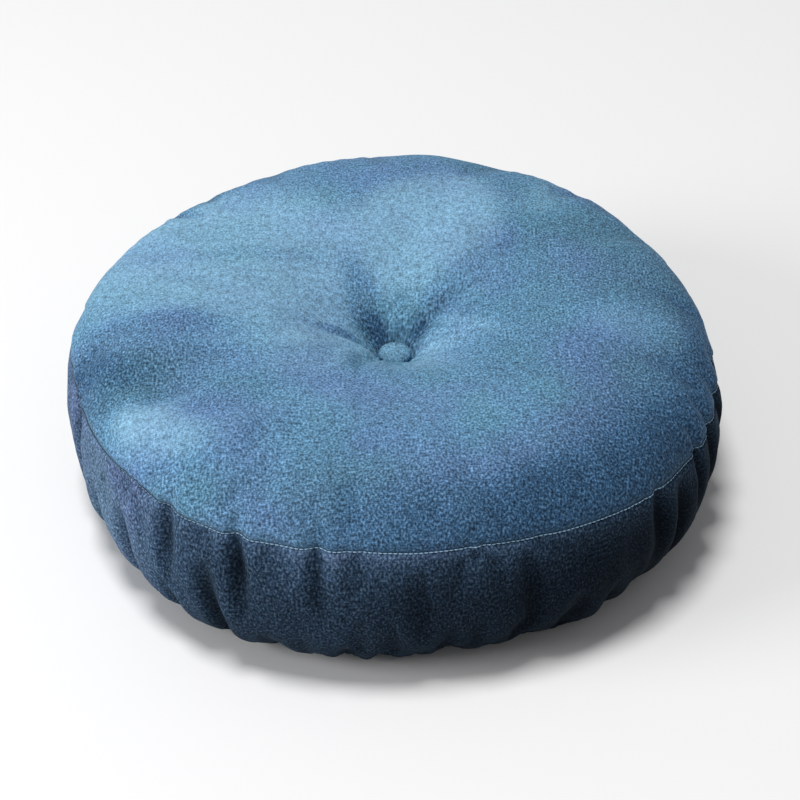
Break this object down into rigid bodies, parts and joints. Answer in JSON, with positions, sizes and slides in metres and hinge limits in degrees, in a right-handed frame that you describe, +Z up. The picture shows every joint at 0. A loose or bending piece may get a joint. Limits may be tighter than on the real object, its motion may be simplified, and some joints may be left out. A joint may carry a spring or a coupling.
{
  "type": "round floor cushion",
  "caption": "Round boxed zafu meditation cushion in heathered blue plush: crowned top tufted in the middle by a covered button, stitched seam and a puckered side band.",
  "frame": {"origin": "middle of the cushion's box seen from above, on the surface that the cushion lies on", "axes": "+Z up through the crown and the button, -Y towards the side that faces the picture's camera, +X to the picture's right"},
  "size_m": [0.4964, 0.5056, 0.1536],
  "materials": {
    "panel_cloth": "brushed heathered plush, blue between teal and periwinkle, soft nap in light and dark patches",
    "band_cloth": "the same brushed plush seen on the side, darker navy",
    "base_cloth": "the same brushed plush, pressed flat",
    "button_cloth": "the panel's plush drawn over a domed button",
    "seam_thread": "pale blue sewing thread"
  },
  "bodies": {
    "root": {"top_panel": "panel_cloth", "side_band": "band_cloth", "bottom_panel": "base_cloth", "tuft_button": "button_cloth"}
  },
  "joints": []
}
